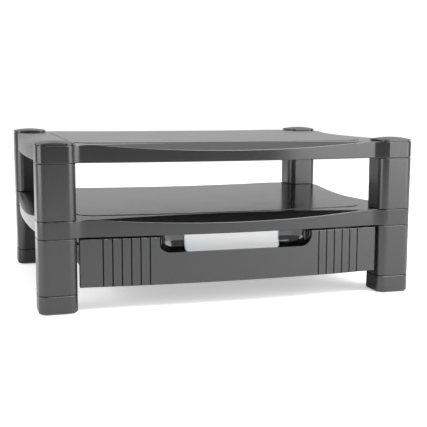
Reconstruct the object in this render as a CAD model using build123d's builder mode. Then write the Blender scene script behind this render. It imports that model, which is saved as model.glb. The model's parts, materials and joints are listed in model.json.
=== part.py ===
"""Two-tier monitor riser with a drawer under its lower platform.

Frame: millimetres, +Z up, origin on the table under the middle of the stand. The drawer
faces -Y and slides out along -Y. Two identical platforms are stacked on four corner posts.
Each post is a foot, a lower column, an upper column and a domed cap, plugged together
through the open corner sleeves of the platforms.
"""
import os
from math import atan2, cos, sin, sqrt

from build123d import *

# ---- Overall sizes ----
WIDTH = 431.8  # across the outer faces of the posts
DEPTH = 336.6  # from the front faces of the posts to the rear ones
FOOT_HEIGHT = 20.3  # table to the shoulder under the lower column
LOWER_COLUMN_HEIGHT = 60.0
UPPER_COLUMN_HEIGHT = 60.0
PLATFORM_HEIGHT = 19.0

# ---- Posts ----
COLUMN = 41.0  # side of the square post
COLUMN_RADIUS = 10.0  # rounding of its upright edges
SLEEVE_WALL = 2.5
SPIGOT_CLEARANCE = 0.2  # gap between a spigot and its sleeve, per side
SPIGOT_WALL = 2.2
SPIGOT_END_GAP = 1.0  # between the two spigots that meet inside a sleeve
JOINT_CHAMFER = 0.7  # outer edges where two pieces of a post meet

# ---- Feet and their pads ----
FOOT_EDGE = 1.8  # rounding round the underside of a foot
FOOT_SOCKET_SPARE = 1.0  # room left below the spigot
FOOT_FLOOR = 2.5
PAD_SIZE = 29.0
PAD_RADIUS = 6.0
PAD_THICKNESS = 2.3
PAD_PROUD = 0.8  # how far a pad stands out under its foot
PAD_GAP = 0.3

# ---- Top caps ----
CAP_RISE = 4.8  # middle of the dome above the platform
CAP_EDGE = 1.7  # lowest point of the dome's rim above the platform
CAP_REVEAL_HEIGHT = 1.0  # shadow gap under the rim
CAP_REVEAL_INSET = 1.8
CAP_FILLET = 0.5

# ---- Platforms ----
FASCIA_WALL = 2.5
DECK_WALL = 2.5
FRONT_PROUD = 3.2  # crown of the bowed front and rear edges beyond the posts
FRONT_BOW = 13.1  # rise of that bow between the post centres
SIDE_PROUD = 2.1
SIDE_BOW = 8.1
NECK_RADIUS = 15.0  # blend between a post and the fascia
SCOOP_DROP = 7.0  # how far each fascia's top edge dips in its middle
SCOOP_REACH_FRONT = 26.5  # run of the sloping scoop, in its middle
SCOOP_REACH_SIDE = 24.0
SCOOP_END_FRONT = 18.0  # from where the dip runs out to the post
SCOOP_END_SIDE = 12.0
PANEL_RISE = 0.5  # raised resting panel on the deck
PANEL_INSET_FRONT = 32.0  # from the crown of the fascia to the panel
PANEL_INSET_SIDE = 46.0
PANEL_RADIUS = 26.0
PANEL_FILLET = 0.3
EDGE_FILLET = 1.0  # outer edges of a platform
RIB = 2.0
RIB_DEPTH = 4.5
RIB_COLUMNS = 5  # ribs that run front to back
RIB_ROWS = 3
DEEP_CAVITY_MARGIN = 5.0  # deck kept thick this far inside the scoops

# ---- Drawer ----
DRAWER_SIDE_GAP = 2.4  # drawer front to post, each side
DRAWER_TOP_GAP = 1.7  # drawer front to platform
DRAWER_FRONT_BOTTOM = 26.5  # above the table
FRONT_WALL = 2.5
FRONT_BODY_DEPTH = 15.5  # crown of the front to its flat back
FRONT_FILLET = 0.9
GROOVE_COUNT = 6
GROOVE_PITCH = 10.0
GROOVE_GAP = 9.0  # from the notch's end to the first groove
GROOVE_WIDTH = 1.8
GROOVE_DEPTH = 1.3
NOTCH_END = 83.5  # from the drawer front's end to the notch
NOTCH_DEPTH = 17.2  # below the top of the drawer front
NOTCH_RADIUS = 13.0
TRAY_WALL = 2.2
TRAY_BACK_GAP = 18.3  # rear face of the rear posts to the tray
TRAY_RADIUS = 6.0
TRAY_FLOOR_FILLET = 3.0
TRAY_LIFT = 1.0  # tray floor above the bottom of the drawer front
FLANGE = 9.0  # outward ledge that rides in a rail
FLANGE_THICKNESS = 2.2
FLANGE_FRONT_GAP = 6.0

# ---- Finger cup and label plate ----
CUP_GAP = 0.2
CUP_WALL = 1.8
CUP_BACK = 24.0  # crown of the drawer front to the cup's back wall
CUP_FLOOR_DEPTH = 25.0  # below the top of the drawer front
CUP_END_RADIUS = 19.0
CUP_FLOOR_FILLET = 18.0
CUP_LIP = 5.0  # flange held between drawer front and tray
LABEL_END = 31.5  # from the cup's inner end to the label
LABEL_SWEEP = 50.0  # degrees that the label plate follows the cup's curved wall
LABEL_RADIUS = 5.0  # lower corners only
LABEL_THICKNESS = 1.5
LABEL_GAP = 0.2  # adhesive between the label plate and the wall

# ---- Rails ----
RAIL_WALL = 2.0
RAIL_RUN_CLEARANCE = 0.3  # under the drawer flange
RAIL_TOP_CLEARANCE = 0.6
RAIL_SIDE_CLEARANCE = 2.0
RAIL_POST_GAP = 3.6
EAR_LENGTH = 18.0
EAR_REACH = 18.0
EAR_INSET = 37.3  # from the post to the middle of the end ear
STOP_THICKNESS = 2.7
STOP_DROP = 9.0
STOP_NUB = 6.0
STOP_NUB_INSET = 7.0
RETAINED = 60.0  # flange left in the rails with the drawer fully open
REAR_STOP_GAP = 0.5

# ---- Screws ----
SCREW_RADIUS = 1.9
SCREW_HEAD_RADIUS = 3.6
SCREW_HEAD_HEIGHT = 2.4
SCREW_LENGTH = 8.0
SCREW_HOLE_GAP = 0.3
PILOT_GAP = 0.05
PILOT_SPARE = 0.8
BOSS_RADIUS = 4.2
CROSS_LENGTH = 4.0
CROSS_WIDTH = 0.9
CROSS_DEPTH = 1.3
FRONT_SCREW_END = 52.5  # from the drawer front's end
FRONT_SCREW_RISE = 12.0  # above the bottom of the drawer front
FRONT_SCREW_DROP = 14.7  # below its top

# ---- Places worked out from the sizes ----
COLUMN_X = (WIDTH - COLUMN) / 2
COLUMN_Y = (DEPTH - COLUMN) / 2
POST_GAP_X = WIDTH / 2 - COLUMN  # middle to the inner face of a post
POST_GAP_Y = DEPTH / 2 - COLUMN
LOWER_BASE = FOOT_HEIGHT + LOWER_COLUMN_HEIGHT
LOWER_TOP = LOWER_BASE + PLATFORM_HEIGHT
UPPER_BASE = LOWER_TOP + UPPER_COLUMN_HEIGHT
UPPER_TOP = UPPER_BASE + PLATFORM_HEIGHT
CROWN_X = WIDTH / 2 + SIDE_PROUD
CROWN_Y = DEPTH / 2 + FRONT_PROUD
BOW_RADIUS_FRONT = (COLUMN_X**2 + FRONT_BOW**2) / (2 * FRONT_BOW)
BOW_RADIUS_SIDE = (COLUMN_Y**2 + SIDE_BOW**2) / (2 * SIDE_BOW)
SLEEVE = COLUMN - 2 * SLEEVE_WALL
SLEEVE_RADIUS = COLUMN_RADIUS - SLEEVE_WALL
SPIGOT = SLEEVE - 2 * SPIGOT_CLEARANCE
SPIGOT_LENGTH = (PLATFORM_HEIGHT - SPIGOT_END_GAP) / 2
SPIGOT_RADIUS = SLEEVE_RADIUS - SPIGOT_CLEARANCE
POST_BORE = SPIGOT - 2 * SPIGOT_WALL
POST_BORE_RADIUS = SPIGOT_RADIUS - SPIGOT_WALL
SCOOP_SPAN_FRONT = POST_GAP_X - SCOOP_END_FRONT
SCOOP_SPAN_SIDE = POST_GAP_Y - SCOOP_END_SIDE
SCREW_HOLE_RADIUS = SCREW_RADIUS + SCREW_HOLE_GAP
PILOT_RADIUS = SCREW_RADIUS + PILOT_GAP

DRAWER_TOP = LOWER_BASE - DRAWER_TOP_GAP
DRAWER_HALF_WIDTH = POST_GAP_X - DRAWER_SIDE_GAP
DRAWER_FRONT_HEIGHT = DRAWER_TOP - DRAWER_FRONT_BOTTOM
FRONT_BACK_Y = -CROWN_Y + FRONT_BODY_DEPTH
NOTCH_BOTTOM = DRAWER_TOP - NOTCH_DEPTH
NOTCH_HALF_WIDTH = DRAWER_HALF_WIDTH - NOTCH_END
GROOVE_FIRST = NOTCH_HALF_WIDTH + GROOVE_GAP
FRONT_SCREW_X = DRAWER_HALF_WIDTH - FRONT_SCREW_END
RAIL_OUTER_X = POST_GAP_X - RAIL_POST_GAP
RAIL_INNER_WEB_X = RAIL_OUTER_X - RAIL_WALL
FLANGE_OUTER_X = RAIL_INNER_WEB_X - RAIL_SIDE_CLEARANCE
TRAY_HALF_WIDTH = FLANGE_OUTER_X - FLANGE
RAIL_TOP_FLANGE_TOP = LOWER_BASE - RAIL_WALL / 2
RAIL_TOP_FLANGE_BOTTOM = RAIL_TOP_FLANGE_TOP - RAIL_WALL
TRAY_TOP = RAIL_TOP_FLANGE_BOTTOM - RAIL_TOP_CLEARANCE
FLANGE_BOTTOM = TRAY_TOP - FLANGE_THICKNESS
LEDGE_TOP = FLANGE_BOTTOM - RAIL_RUN_CLEARANCE
LEDGE_BOTTOM = LEDGE_TOP - RAIL_WALL
TRAY_BOTTOM = DRAWER_FRONT_BOTTOM + TRAY_LIFT
TRAY_REAR_Y = DEPTH / 2 - TRAY_BACK_GAP
TRAY_FRONT_Y = FRONT_BACK_Y
FLANGE_FRONT_Y = TRAY_FRONT_Y + FLANGE_FRONT_GAP
RAIL_FRONT_Y = FLANGE_FRONT_Y
RAIL_REAR_Y = TRAY_REAR_Y + REAR_STOP_GAP
RAIL_TONGUE_X = TRAY_HALF_WIDTH + RAIL_SIDE_CLEARANCE
EAR_X = RAIL_OUTER_X + EAR_REACH / 2
EAR_SPACING = POST_GAP_Y - EAR_INSET
TRAVEL = TRAY_REAR_Y - FLANGE_FRONT_Y - RETAINED
NUB_FRONT_Y = TRAY_REAR_Y - STOP_NUB_INSET - STOP_NUB
STOP_TAB_REAR_Y = NUB_FRONT_Y - TRAVEL - RAIL_RUN_CLEARANCE
CUP_BACK_Y = -CROWN_Y + CUP_BACK
CUP_HALF_WIDTH = NOTCH_HALF_WIDTH - CUP_GAP
LABEL_WIDTH = 2 * (CUP_HALF_WIDTH - CUP_WALL - LABEL_END)
CUP_FLOOR_Z = DRAWER_TOP - CUP_FLOOR_DEPTH
CUP_TOP = DRAWER_TOP - CUP_GAP
LABEL_TOP = CUP_TOP - CUP_GAP
FRONT_SCREW_HEIGHTS = (
    DRAWER_FRONT_BOTTOM + FRONT_SCREW_RISE,
    DRAWER_TOP - FRONT_SCREW_DROP,
)
FRONT_SCREW_PLACES = [(side * FRONT_SCREW_X, z) for side in (-1, 1) for z in FRONT_SCREW_HEIGHTS]
EAR_PLACES = [(side * EAR_X, row * EAR_SPACING) for side in (-1, 1) for row in (-1, 0, 1)]

CORNERS = {
    "front_left": (-1, -1),
    "front_right": (1, -1),
    "rear_left": (-1, 1),
    "rear_right": (1, 1),
}
POST_CENTRES = [(side * COLUMN_X, end * COLUMN_Y) for side, end in CORNERS.values()]

os.makedirs("parts", exist_ok=True)


def save(piece, name):
    """Label a finished sub-part and write its STEP file."""
    piece.part.label = name
    export_step(piece.part, f"parts/{name}.step")


def bowed_loop(inset):
    """Draw the platform's four bowed edges, inset from the fascia, inside a BuildLine."""
    end_x = CROWN_X - SIDE_BOW - inset
    end_y = CROWN_Y - FRONT_BOW - inset
    for end in (-1, 1):
        ThreePointArc(
            (-COLUMN_X, end * end_y), (0, end * (CROWN_Y - inset)), (COLUMN_X, end * end_y)
        )
    for side in (-1, 1):
        ThreePointArc(
            (side * end_x, -COLUMN_Y), (side * (CROWN_X - inset), 0), (side * end_x, COLUMN_Y)
        )
    for side, end in CORNERS.values():
        Line((side * COLUMN_X, end * end_y), (side * end_x, end * COLUMN_Y))


def scoop_plane(outward, crown, reach, top):
    """Plane square to a scoop's slope, with its origin on the scoop's inner edge."""
    angle = atan2(SCOOP_DROP, reach)
    start = (outward[0] * (crown - reach), outward[1] * (crown - reach), top)
    downhill = (outward[0] * cos(angle), outward[1] * cos(angle), -sin(angle))
    return Plane(origin=start, x_dir=(-outward[1], outward[0], 0), z_dir=downhill)


def scoop_radius(bow_radius, reach, span):
    """Radius of the trough that meets the deck's edge `span` from the middle."""
    angle = atan2(SCOOP_DROP, reach)
    bow_there = bow_radius - sqrt(bow_radius**2 - span**2)
    rise = (reach - bow_there) * sin(angle)
    return (span**2 + rise**2) / (2 * rise)


SCOOPS = [
    ((0, -1), CROWN_Y, SCOOP_REACH_FRONT, SCOOP_SPAN_FRONT, BOW_RADIUS_FRONT, POST_GAP_X),
    ((0, 1), CROWN_Y, SCOOP_REACH_FRONT, SCOOP_SPAN_FRONT, BOW_RADIUS_FRONT, POST_GAP_X),
    ((-1, 0), CROWN_X, SCOOP_REACH_SIDE, SCOOP_SPAN_SIDE, BOW_RADIUS_SIDE, POST_GAP_Y),
    ((1, 0), CROWN_X, SCOOP_REACH_SIDE, SCOOP_SPAN_SIDE, BOW_RADIUS_SIDE, POST_GAP_Y),
]


def build_platform(base):
    """Moulded platform: bowed fascias, scooped edges, corner sleeves and ribs."""
    top = base + PLATFORM_HEIGHT
    deck_under = top - DECK_WALL
    edge_under = top - SCOOP_DROP - DECK_WALL
    with BuildPart() as platform:
        with BuildSketch(Plane.XY.offset(base)) as outline:
            with BuildLine():
                bowed_loop(0)
            make_face()
            with Locations(*POST_CENTRES):
                RectangleRounded(COLUMN, COLUMN, COLUMN_RADIUS)
            necks = [
                v
                for v in outline.vertices()
                if abs(v.X) < POST_GAP_X + COLUMN_RADIUS / 2
                or abs(v.Y) < POST_GAP_Y + COLUMN_RADIUS / 2
            ]
            fillet(necks, NECK_RADIUS)
        extrude(amount=PLATFORM_HEIGHT)

        # raised resting panel
        with BuildSketch(Plane.XY.offset(top)) as panel:
            panel_x = CROWN_X - PANEL_INSET_SIDE
            panel_y = CROWN_Y - PANEL_INSET_FRONT
            panel_bow = BOW_RADIUS_FRONT - sqrt(BOW_RADIUS_FRONT**2 - panel_x**2)
            with BuildLine():
                for end in (-1, 1):
                    ThreePointArc(
                        (-panel_x, end * (panel_y - panel_bow)),
                        (0, end * panel_y),
                        (panel_x, end * (panel_y - panel_bow)),
                    )
                for side in (-1, 1):
                    Line(
                        (side * panel_x, panel_bow - panel_y),
                        (side * panel_x, panel_y - panel_bow),
                    )
            make_face()
            fillet(panel.vertices(), PANEL_RADIUS)
        extrude(amount=PANEL_RISE)
        rim = platform.faces().sort_by(Axis.Z)[-1].edges()
        fillet(rim, PANEL_FILLET)

        # sloping scoops along the four edges
        for outward, crown, reach, span, bow_radius, half_width in SCOOPS:
            trough = scoop_radius(bow_radius, reach, span)
            end_rise = trough - sqrt(trough**2 - half_width**2)
            roof = end_rise + 2 * SCOOP_DROP
            with BuildSketch(scoop_plane(outward, crown, reach, top)):
                with BuildLine():
                    ThreePointArc((-half_width, end_rise), (0, 0), (half_width, end_rise))
                    Polyline(
                        (half_width, end_rise),
                        (half_width, roof),
                        (-half_width, roof),
                        (-half_width, end_rise),
                    )
                make_face()
            extrude(amount=2 * reach, mode=Mode.SUBTRACT)

        # rounded outer edges, above and below
        walls = [
            f
            for f in platform.faces()
            if f.bounding_box().min.Z < base + EDGE_FILLET and abs(f.normal_at().Z) < 0.5
        ]
        rims = [
            e for f in walls for e in f.edges() if e.bounding_box().size.Z < PLATFORM_HEIGHT / 2
        ]
        fillet(rims, EDGE_FILLET)

        # hollow underside: shallow under the scoops, deep under the flat deck
        with BuildSketch(Plane.XY.offset(base)):
            with BuildLine():
                bowed_loop(FASCIA_WALL)
            make_face()
            with Locations(*POST_CENTRES):
                RectangleRounded(COLUMN, COLUMN, COLUMN_RADIUS, mode=Mode.SUBTRACT)
        extrude(amount=edge_under - base, mode=Mode.SUBTRACT)
        deep_x = CROWN_X - SCOOP_REACH_SIDE - DEEP_CAVITY_MARGIN
        deep_y = CROWN_Y - SCOOP_REACH_FRONT - DEEP_CAVITY_MARGIN
        with BuildSketch(Plane.XY.offset(base)):
            Rectangle(2 * deep_x, 2 * deep_y)
            with Locations(*POST_CENTRES):
                RectangleRounded(COLUMN, COLUMN, COLUMN_RADIUS, mode=Mode.SUBTRACT)
        extrude(amount=deck_under - base, mode=Mode.SUBTRACT)

        # stiffening ribs and screw bosses
        with BuildSketch(Plane.XY.offset(deck_under - RIB_DEPTH)):
            rib_pitch_x = 2 * POST_GAP_X / (RIB_COLUMNS + 1)
            rib_pitch_y = 2 * POST_GAP_Y / (RIB_ROWS + 1)
            with GridLocations(rib_pitch_x, 0, RIB_COLUMNS, 1):
                Rectangle(RIB, 2 * deep_y)
            with GridLocations(0, rib_pitch_y, 1, RIB_ROWS):
                Rectangle(2 * deep_x, RIB)
        extrude(amount=RIB_DEPTH)
        with BuildSketch(Plane.XY.offset(base)):
            with Locations(*EAR_PLACES):
                Circle(BOSS_RADIUS)
        extrude(amount=deck_under - base)
        with BuildSketch(Plane.XY.offset(base)):
            with Locations(*EAR_PLACES):
                Circle(PILOT_RADIUS)
        extrude(amount=SCREW_LENGTH - RAIL_WALL + PILOT_SPARE, mode=Mode.SUBTRACT)

        # open sleeves for the posts
        with BuildSketch(Plane.XY.offset(base)):
            with Locations(*POST_CENTRES):
                RectangleRounded(SLEEVE, SLEEVE, SLEEVE_RADIUS)
        extrude(amount=PLATFORM_HEIGHT, mode=Mode.SUBTRACT)
    return platform


def build_column(centre, base, height):
    """Hollow post section with a plug-in spigot at each end."""
    with BuildPart() as column:
        with BuildSketch(Plane.XY.offset(base)):
            with Locations(centre):
                RectangleRounded(COLUMN, COLUMN, COLUMN_RADIUS)
        extrude(amount=height)
        ends = column.edges().group_by(Axis.Z)
        chamfer(ends[0] + ends[-1], JOINT_CHAMFER)
        with BuildSketch(Plane.XY.offset(base - SPIGOT_LENGTH)):
            with Locations(centre):
                RectangleRounded(SPIGOT, SPIGOT, SPIGOT_RADIUS)
        extrude(amount=height + 2 * SPIGOT_LENGTH)
        with BuildSketch(Plane.XY.offset(base - SPIGOT_LENGTH)):
            with Locations(centre):
                RectangleRounded(POST_BORE, POST_BORE, POST_BORE_RADIUS)
        extrude(amount=height + 2 * SPIGOT_LENGTH, mode=Mode.SUBTRACT)
    return column


def build_foot(centre):
    """Hollow foot with a socket for the lower column and a recess for its pad."""
    socket_bottom = FOOT_HEIGHT - SPIGOT_LENGTH - FOOT_SOCKET_SPARE
    recess_top = PAD_THICKNESS
    recess = PAD_SIZE + 2 * PAD_GAP
    with BuildPart() as foot:
        with BuildSketch(Plane.XY.offset(PAD_PROUD)):
            with Locations(centre):
                RectangleRounded(COLUMN, COLUMN, COLUMN_RADIUS)
        extrude(amount=FOOT_HEIGHT - PAD_PROUD)
        levels = foot.edges().group_by(Axis.Z)
        chamfer(levels[-1], JOINT_CHAMFER)
        fillet(foot.edges().group_by(Axis.Z)[0], FOOT_EDGE)
        with BuildSketch(Plane.XY.offset(socket_bottom)):
            with Locations(centre):
                RectangleRounded(SLEEVE, SLEEVE, SLEEVE_RADIUS)
        extrude(amount=FOOT_HEIGHT - socket_bottom, mode=Mode.SUBTRACT)
        with BuildSketch(Plane.XY.offset(recess_top + FOOT_FLOOR)):
            with Locations(centre):
                RectangleRounded(POST_BORE, POST_BORE, POST_BORE_RADIUS)
        extrude(amount=socket_bottom - recess_top - FOOT_FLOOR, mode=Mode.SUBTRACT)
        with BuildSketch(Plane.XY.offset(PAD_PROUD)):
            with Locations(centre):
                RectangleRounded(recess, recess, PAD_RADIUS + PAD_GAP)
        extrude(amount=recess_top - PAD_PROUD, mode=Mode.SUBTRACT)
    return foot


def build_pad(centre):
    """Non-slip pad let into the underside of a foot."""
    with BuildPart() as pad:
        with BuildSketch(Plane.XY):
            with Locations(centre):
                RectangleRounded(PAD_SIZE, PAD_SIZE, PAD_RADIUS)
        extrude(amount=PAD_THICKNESS)
    return pad


def build_cap(centre):
    """Shallow domed cap with a hollow plug that fits the upper platform's sleeve."""
    corner = (COLUMN / 2 - COLUMN_RADIUS) * sqrt(2) + COLUMN_RADIUS
    sag = CAP_RISE - CAP_EDGE
    dome_radius = (corner**2 + sag**2) / (2 * sag)
    dome_centre = (centre[0], centre[1], UPPER_TOP + CAP_RISE - dome_radius)
    reveal = COLUMN - 2 * CAP_REVEAL_INSET
    with BuildPart() as cap:
        with BuildSketch(Plane.XY.offset(UPPER_TOP + CAP_REVEAL_HEIGHT)):
            with Locations(centre):
                RectangleRounded(COLUMN, COLUMN, COLUMN_RADIUS)
        extrude(amount=2 * CAP_RISE)
        with Locations(dome_centre):
            Sphere(dome_radius, mode=Mode.INTERSECT)
        fillet(cap.faces().sort_by(Axis.Z)[-1].edges(), CAP_FILLET)
        with BuildSketch(Plane.XY.offset(UPPER_TOP)):
            with Locations(centre):
                RectangleRounded(reveal, reveal, COLUMN_RADIUS - CAP_REVEAL_INSET)
        extrude(amount=CAP_REVEAL_HEIGHT)
        with BuildSketch(Plane.XY.offset(UPPER_TOP - SPIGOT_LENGTH)):
            with Locations(centre):
                RectangleRounded(SPIGOT, SPIGOT, SPIGOT_RADIUS)
        extrude(amount=SPIGOT_LENGTH)
        with BuildSketch(Plane.XY.offset(UPPER_TOP - SPIGOT_LENGTH)):
            with Locations(centre):
                RectangleRounded(POST_BORE, POST_BORE, POST_BORE_RADIUS)
        extrude(amount=SPIGOT_LENGTH - CAP_EDGE, mode=Mode.SUBTRACT)
    return cap


def build_rail(side):
    """C-shaped drawer rail with three screw ears, a front stop tab and a closed rear end."""
    ear_inner = RAIL_INNER_WEB_X
    with BuildPart() as rail:
        profile_plane = Plane(origin=(0, RAIL_FRONT_Y, 0), x_dir=(1, 0, 0), z_dir=(0, -1, 0))
        with BuildSketch(profile_plane):
            with BuildLine():
                Polyline(
                    (side * RAIL_TONGUE_X, LEDGE_BOTTOM),
                    (side * RAIL_OUTER_X, LEDGE_BOTTOM),
                    (side * RAIL_OUTER_X, LOWER_BASE),
                    (side * RAIL_INNER_WEB_X, LOWER_BASE),
                    (side * RAIL_INNER_WEB_X, RAIL_TOP_FLANGE_TOP),
                    (side * RAIL_TONGUE_X, RAIL_TOP_FLANGE_TOP),
                    (side * RAIL_TONGUE_X, RAIL_TOP_FLANGE_BOTTOM),
                    (side * RAIL_INNER_WEB_X, RAIL_TOP_FLANGE_BOTTOM),
                    (side * RAIL_INNER_WEB_X, LEDGE_TOP),
                    (side * RAIL_TONGUE_X, LEDGE_TOP),
                    close=True,
                )
            make_face()
        extrude(amount=RAIL_FRONT_Y - RAIL_REAR_Y)
        with BuildSketch(Plane.XY.offset(LOWER_BASE - RAIL_WALL)):
            ear_width = RAIL_OUTER_X + EAR_REACH - ear_inner
            with Locations(*[(side * (ear_inner + ear_width / 2), y) for x, y in EAR_PLACES[:3]]):
                RectangleRounded(ear_width, EAR_LENGTH, RAIL_WALL / 2)
        extrude(amount=RAIL_WALL)
        with BuildSketch(Plane.XY.offset(LOWER_BASE - RAIL_WALL)):
            with Locations(*[(side * EAR_X, y) for x, y in EAR_PLACES[:3]]):
                Circle(SCREW_HOLE_RADIUS)
        extrude(amount=RAIL_WALL, mode=Mode.SUBTRACT)
        # closed rear end
        middle_x = side * (RAIL_TONGUE_X + RAIL_OUTER_X) / 2
        with BuildSketch(Plane.XY.offset(LEDGE_BOTTOM)):
            with Locations((middle_x, RAIL_REAR_Y + RAIL_WALL / 2)):
                Rectangle(RAIL_OUTER_X - RAIL_TONGUE_X, RAIL_WALL)
        extrude(amount=RAIL_TOP_FLANGE_TOP - LEDGE_BOTTOM)
        # tab that catches the drawer's stop nub
        with BuildSketch(Plane.XY.offset(LEDGE_BOTTOM - STOP_DROP)):
            with Locations((middle_x, STOP_TAB_REAR_Y - STOP_THICKNESS / 2)):
                Rectangle(RAIL_OUTER_X - RAIL_TONGUE_X, STOP_THICKNESS)
        extrude(amount=STOP_DROP)
    return rail


def build_screw(place, drive_from):
    """Pan-head screw: its head's underside at `place`, its shank pointing along drive_from."""
    with BuildPart() as screw:
        with BuildSketch(Plane(origin=place, z_dir=drive_from)):
            Circle(SCREW_RADIUS)
        extrude(amount=SCREW_LENGTH)
        with BuildSketch(Plane(origin=place, z_dir=drive_from)):
            Circle(SCREW_HEAD_RADIUS)
        extrude(amount=-SCREW_HEAD_HEIGHT)
        head_top = screw.faces().sort_by(Axis(place, drive_from))[0]
        fillet(head_top.edges(), SCREW_HEAD_HEIGHT / 2)
        crown = Plane(origin=place, z_dir=drive_from).offset(-SCREW_HEAD_HEIGHT)
        with BuildSketch(crown):
            Rectangle(CROSS_LENGTH, CROSS_WIDTH)
            Rectangle(CROSS_WIDTH, CROSS_LENGTH)
        extrude(amount=CROSS_DEPTH, mode=Mode.SUBTRACT)
    return screw


def plan_behind_front(thickness):
    """Disc whose front edge runs `thickness` behind the bowed face of the drawer front."""
    with Locations((0, BOW_RADIUS_FRONT - CROWN_Y)):
        Circle(BOW_RADIUS_FRONT - thickness, mode=Mode.INTERSECT)


# ---- Posts, caps, feet and pads ----
for corner_name, (corner_side, corner_end) in CORNERS.items():
    post = (corner_side * COLUMN_X, corner_end * COLUMN_Y)
    save(build_pad(post), f"foot_pad_{corner_name}")
    save(build_foot(post), f"foot_{corner_name}")
    save(build_column(post, FOOT_HEIGHT, LOWER_COLUMN_HEIGHT), f"lower_column_{corner_name}")
    save(build_column(post, LOWER_TOP, UPPER_COLUMN_HEIGHT), f"upper_column_{corner_name}")
    save(build_cap(post), f"top_cap_{corner_name}")

# ---- Platforms ----
lower_platform = build_platform(LOWER_BASE)
save(lower_platform, "lower_platform")
with BuildPart() as upper_platform:
    with Locations((0, 0, UPPER_BASE - LOWER_BASE)):
        add(lower_platform.part)
save(upper_platform, "upper_platform")

# ---- Drawer front: a bowed shell, open at the back ----
with BuildPart() as drawer_front:
    with BuildSketch(Plane.XY.offset(DRAWER_FRONT_BOTTOM)):
        with Locations((0, FRONT_BACK_Y - FRONT_BODY_DEPTH)):
            Rectangle(2 * DRAWER_HALF_WIDTH, 2 * FRONT_BODY_DEPTH)
        plan_behind_front(0)
    extrude(amount=DRAWER_FRONT_HEIGHT)
    bowed_face = drawer_front.faces().sort_by(Axis.Y)[0]
    fillet(bowed_face.edges(), FRONT_FILLET)
    with BuildSketch(Plane.XY.offset(DRAWER_FRONT_BOTTOM + FRONT_WALL)):
        with Locations((0, FRONT_BACK_Y - FRONT_BODY_DEPTH)):
            Rectangle(2 * (DRAWER_HALF_WIDTH - FRONT_WALL), 2 * FRONT_BODY_DEPTH)
        plan_behind_front(FRONT_WALL)
    extrude(amount=DRAWER_FRONT_HEIGHT - 2 * FRONT_WALL, mode=Mode.SUBTRACT)
    # screw bosses, each from the inside of the face to the flat back
    with BuildSketch(Plane.XZ.offset(-FRONT_BACK_Y)):
        with Locations(*FRONT_SCREW_PLACES):
            Circle(BOSS_RADIUS)
    extrude(until=Until.NEXT)
    with BuildSketch(Plane.XZ.offset(-FRONT_BACK_Y)):
        with Locations(*FRONT_SCREW_PLACES):
            Circle(PILOT_RADIUS)
    extrude(amount=SCREW_LENGTH - TRAY_WALL + PILOT_SPARE, mode=Mode.SUBTRACT)
    # upright grooves in two groups
    with BuildSketch(Plane.XY.offset(DRAWER_FRONT_BOTTOM)):
        for side in (-1, 1):
            for number in range(GROOVE_COUNT):
                groove_x = side * (GROOVE_FIRST + number * GROOVE_PITCH)
                face_y = BOW_RADIUS_FRONT - sqrt(BOW_RADIUS_FRONT**2 - groove_x**2) - CROWN_Y
                with BuildLine():
                    Polyline(
                        (groove_x - GROOVE_WIDTH / 2, face_y - GROOVE_DEPTH / 4),
                        (groove_x, face_y + GROOVE_DEPTH),
                        (groove_x + GROOVE_WIDTH / 2, face_y - GROOVE_DEPTH / 4),
                        close=True,
                    )
                make_face()
    extrude(amount=DRAWER_FRONT_HEIGHT, mode=Mode.SUBTRACT)
    # finger notch through the face and the top return
    with BuildSketch(Plane.XZ.offset(-FRONT_BACK_Y)):
        with Locations((0, NOTCH_BOTTOM + NOTCH_DEPTH)):
            RectangleRounded(2 * NOTCH_HALF_WIDTH, 2 * NOTCH_DEPTH, NOTCH_RADIUS)
    extrude(amount=2 * FRONT_BODY_DEPTH, mode=Mode.SUBTRACT)
save(drawer_front, "drawer_front")

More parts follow.
